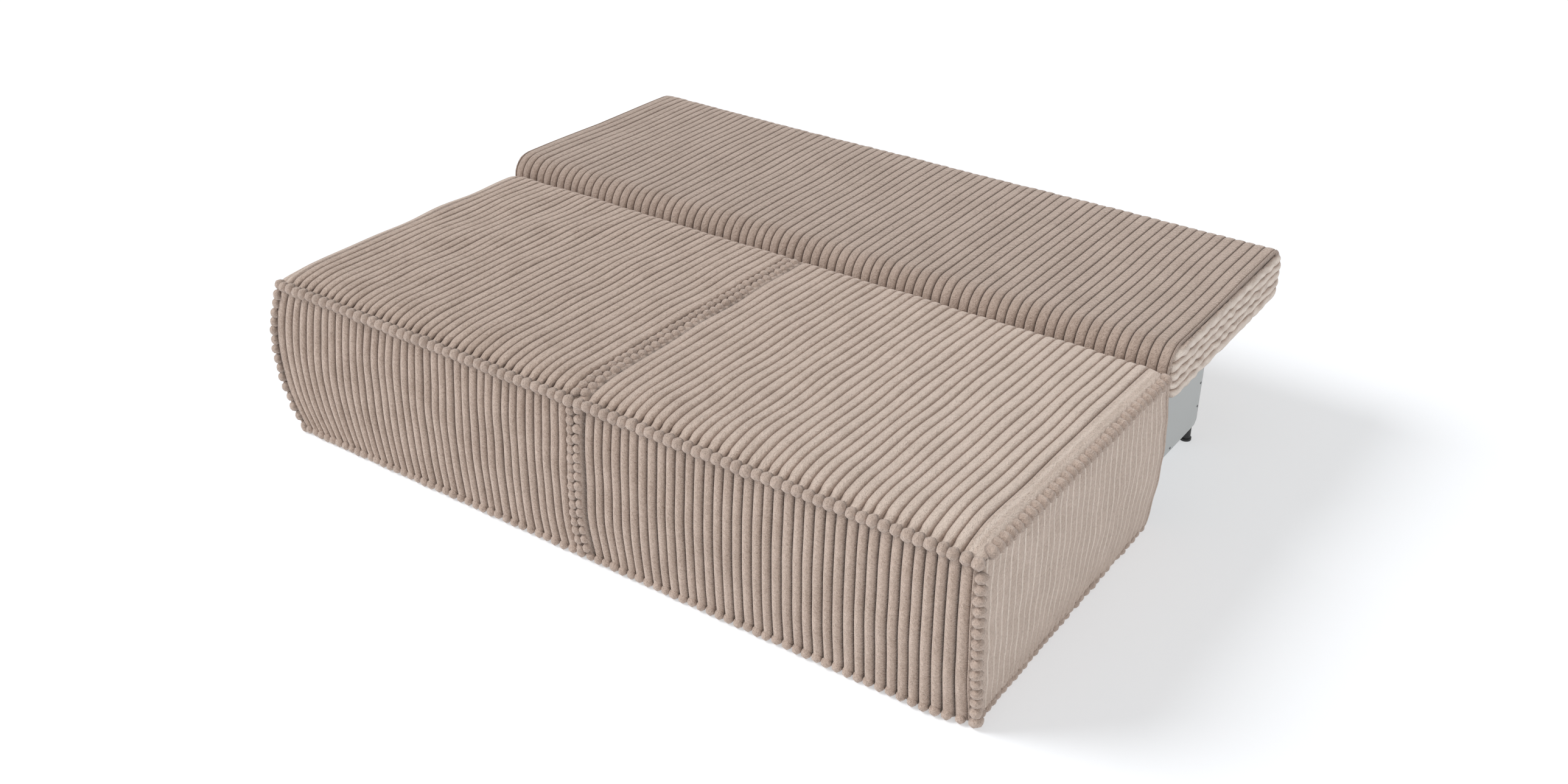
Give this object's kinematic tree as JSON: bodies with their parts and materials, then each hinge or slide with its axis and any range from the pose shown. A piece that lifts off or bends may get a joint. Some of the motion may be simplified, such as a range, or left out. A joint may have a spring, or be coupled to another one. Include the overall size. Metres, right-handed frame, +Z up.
{
  "type": "storage sofa bed",
  "caption": "Ribbed-cord sofa bed shown flat: the seat unit rolls out from over a storage box on wheels and runners, and the back cushion swings down behind it.",
  "frame": {"origin": "on the floor under the middle of the whole object in its bed pose", "axes": "+X along the width to the right seen from the front, -Y towards the front, +Z up"},
  "size_m": [2.021, 1.5352, 0.4609],
  "materials": {
    "ribbed_cord": "wide-rib corduroy in warm beige, short plush pile with a soft sheen",
    "lining": "plain woven lining",
    "foam": "cut polyether foam",
    "grey_melamine": "chipboard with light grey melamine coating",
    "chipboard": "raw chipboard",
    "plywood": "raw plywood",
    "timber": "planed softwood",
    "nylon": "smooth white nylon",
    "spring_steel": "oiled spring wire",
    "zinc_steel": "zinc-plated sheet and bar",
    "black_steel": "black powder coat",
    "screw_steel": "dark burnished heads",
    "black_plastic": "moulded black plastic"
  },
  "bodies": {
    "base": {"box_side_left": "grey_melamine", "box_side_right": "grey_melamine", "box_front_panel": "grey_melamine", "box_rear_panel": "grey_melamine", "box_floor_panel": "grey_melamine", "box_feet": "black_plastic", "panel_screws": "screw_steel", "runner_outer_left": "zinc_steel", "runner_outer_right": "zinc_steel", "arm_bearing_left": "zinc_steel", "arm_bearing_right": "zinc_steel"},
    "carriage": {"runner_carriage_left": "zinc_steel", "runner_carriage_right": "zinc_steel"},
    "seat": {"seat_top_cover_left": "ribbed_cord", "seat_top_cover_right": "ribbed_cord", "seat_front_cover_left": "ribbed_cord", "seat_front_cover_right": "ribbed_cord", "seat_side_cover_left": "ribbed_cord", "seat_side_cover_right": "ribbed_cord", "seat_rear_cover_left": "lining", "seat_rear_cover_right": "lining", "seat_foam_left": "foam", "seat_foam_right": "foam", "seat_front_pad_left": "foam", "seat_front_pad_right": "foam", "seat_side_pad_left": "foam", "seat_side_pad_right": "foam", "seat_front_board": "chipboard", "seat_side_board_left": "chipboard", "seat_side_board_right": "chipboard", "deck_front_rail": "timber", "deck_rear_rail": "timber", "deck_centre_rail": "timber", "deck_side_rail_left": "timber", "deck_side_rail_right": "timber", "deck_glides": "nylon", "seat_springs": "spring_steel", "runner_inner_left": "zinc_steel", "runner_inner_right": "zinc_steel", "wheel_fork_left": "zinc_steel", "wheel_fork_right": "zinc_steel", "wheel_axle_left": "zinc_steel", "wheel_axle_right": "zinc_steel"},
    "wheel_left": {"wheel_left": "black_plastic"},
    "wheel_right": {"wheel_right": "black_plastic"},
    "arms": {"swing_arm_left": "black_steel", "swing_arm_right": "black_steel", "sync_tube": "black_steel"},
    "back": {"back_cover": "ribbed_cord", "back_foam": "foam", "back_board": "plywood", "back_side_rail_left": "timber", "back_side_rail_right": "timber", "back_front_rail": "timber", "back_rear_rail": "timber", "back_centre_rail": "timber", "back_hinge_plate_left": "zinc_steel", "back_hinge_plate_right": "zinc_steel", "back_hinge_pin_left": "zinc_steel", "back_hinge_pin_right": "zinc_steel"}
  },
  "joints": [
    {"name": "carriage_slide", "type": "slide", "parent": "base", "child": "carriage", "axis": [0, 1, 0], "range_m": [0, 0.43]},
    {"name": "seat_pull", "type": "slide", "parent": "carriage", "child": "seat", "axis": [0, -1, 0], "range_m": [0, 0.18]},
    {"name": "wheel_left_spin", "type": "hinge", "parent": "seat", "child": "wheel_left", "pos_m": [-0.7, -0.66436, 0.028], "axis": [1, 0, 0], "continuous": true},
    {"name": "wheel_right_spin", "type": "hinge", "parent": "seat", "child": "wheel_right", "pos_m": [0.7, -0.66436, 0.028], "axis": [1, 0, 0], "continuous": true},
    {"name": "arm_swing", "type": "hinge", "parent": "base", "child": "arms", "pos_m": [0, 0.40864, 0.082], "axis": [1, 0, 0], "range_deg": [-106, 0]},
    {"name": "back_fold", "type": "hinge", "parent": "arms", "child": "back", "pos_m": [0, 0.13064, 0.3], "axis": [1, 0, 0], "range_deg": [0, 186]}
  ],
  "couplings": [
    {"joint": "arm_swing", "follows": "carriage_slide", "rad_per_m": -4.3024},
    {"joint": "back_fold", "follows": "carriage_slide", "rad_per_m": 7.5495}
  ]
}
